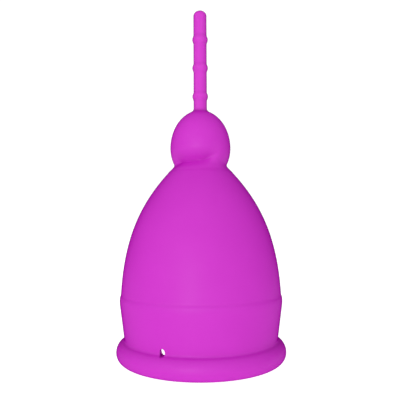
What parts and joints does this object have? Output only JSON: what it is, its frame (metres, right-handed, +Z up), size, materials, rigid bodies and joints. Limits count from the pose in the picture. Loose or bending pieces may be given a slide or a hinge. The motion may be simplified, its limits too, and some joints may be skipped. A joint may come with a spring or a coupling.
{
  "type": "silicone menstrual cup",
  "caption": "Bell-shaped soft silicone menstrual cup, stood on its rolled rim: air holes over the rim, a body ridge, a hollow grip bulb and a flexible ringed stem.",
  "frame": {"origin": "centre of the mouth, on the surface that the rim rests on", "axes": "+Z up along the cup's axis, from the mouth to the tip of the stem; +X to the right and -Y towards the viewer"},
  "size_m": [0.044, 0.044, 0.0936],
  "materials": {
    "silicone": "satin"
  },
  "bodies": {
    "cup": {"rim": "silicone", "sealing_band": "silicone", "bowl": "silicone"},
    "bulb": {"grip_bulb": "silicone", "stem_root": "silicone"},
    "stem_lower": {"stem_link_lower": "silicone", "grip_ring_lower": "silicone"},
    "stem_middle": {"stem_link_middle": "silicone", "grip_ring_middle": "silicone"},
    "stem_upper": {"stem_link_upper": "silicone", "grip_ring_upper": "silicone"},
    "stem_end": {"stem_tip": "silicone"}
  },
  "joints": [
    {"name": "waist_tilt", "type": "hinge", "parent": "cup", "child": "bulb", "pos_m": [0, 0, 0.0504], "axis": [1, 0, 0], "range_deg": [-10, 10], "stiffness_Nm_per_rad": 0.15},
    {"name": "root_bend", "type": "hinge", "parent": "bulb", "child": "stem_lower", "pos_m": [0, 0, 0.06675], "axis": [0, 1, 0], "range_deg": [-30, 30], "stiffness_Nm_per_rad": 0.004},
    {"name": "lower_bend", "type": "hinge", "parent": "stem_lower", "child": "stem_middle", "pos_m": [0, 0, 0.07365], "axis": [1, 0, 0], "range_deg": [-30, 30], "stiffness_Nm_per_rad": 0.002},
    {"name": "middle_bend", "type": "hinge", "parent": "stem_middle", "child": "stem_upper", "pos_m": [0, 0, 0.08155], "axis": [0, 1, 0], "range_deg": [-30, 30], "stiffness_Nm_per_rad": 0.002},
    {"name": "upper_bend", "type": "hinge", "parent": "stem_upper", "child": "stem_end", "pos_m": [0, 0, 0.08945], "axis": [1, 0, 0], "range_deg": [-30, 30], "stiffness_Nm_per_rad": 0.002}
  ]
}
